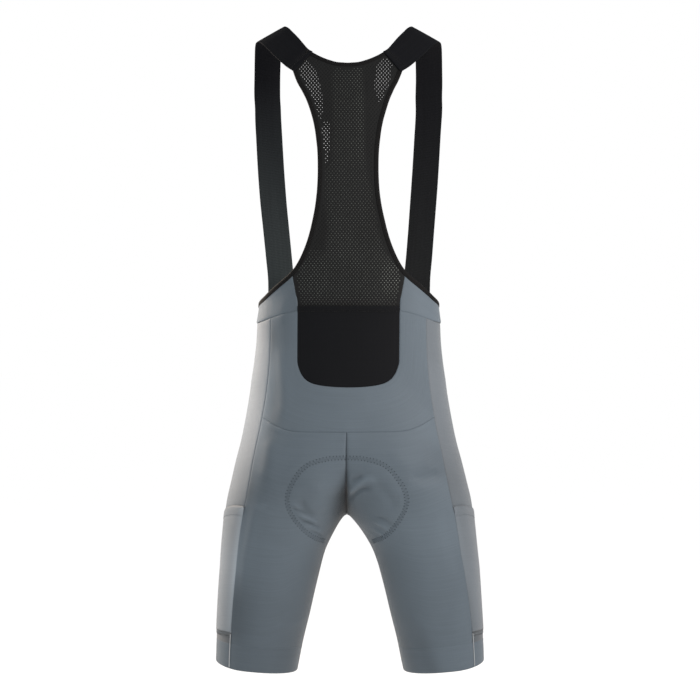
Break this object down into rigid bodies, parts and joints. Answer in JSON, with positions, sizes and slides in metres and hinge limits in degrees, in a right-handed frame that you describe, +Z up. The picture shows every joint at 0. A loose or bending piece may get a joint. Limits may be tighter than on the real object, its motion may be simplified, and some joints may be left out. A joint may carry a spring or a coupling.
{
  "type": "cycling bib shorts",
  "caption": "Worn, hollow cycling bib shorts: grey stretch legs and hips with cargo pockets, open-knit racer back, black rear pocket, elastic shoulder straps and a seat pad",
  "frame": {"origin": "midway between the wearer's shoulders, level with the crests of the two straps, where the wearer holds the garment up", "axes": "+X to the wearer's left, +Y to the wearer's back, +Z up"},
  "size_m": [0.4016, 0.2199, 0.9658],
  "materials": {
    "knit_grey": "smooth warp knit with a soft sheen",
    "net_black": "open mesh knit",
    "pocket_black": "matt fine knit",
    "strap_black": "fine ribbed elastic",
    "binding_black": "folded elastic binding",
    "trim_light": "satin tape",
    "pad_knit": "brushed knit over foam"
  },
  "bodies": {
    "root": {"back_hip": "knit_grey", "back_mesh": "net_black", "edge_binding_L": "binding_black", "edge_binding_R": "binding_black", "front_L": "knit_grey", "front_R": "knit_grey", "front_binding": "binding_black", "leg_back_L": "knit_grey", "leg_back_R": "knit_grey", "leg_band_L": "knit_grey", "leg_band_R": "knit_grey", "neck_binding": "binding_black", "rear_pocket": "pocket_black", "seam_tape_L": "trim_light", "seam_tape_R": "trim_light", "seat_pad": "pad_knit", "side_L": "knit_grey", "side_R": "knit_grey", "strap_L": "strap_black", "strap_R": "strap_black", "thigh_pocket_L": "knit_grey", "thigh_pocket_R": "knit_grey", "waist_yoke_L": "knit_grey", "waist_yoke_R": "knit_grey"}
  },
  "joints": []
}
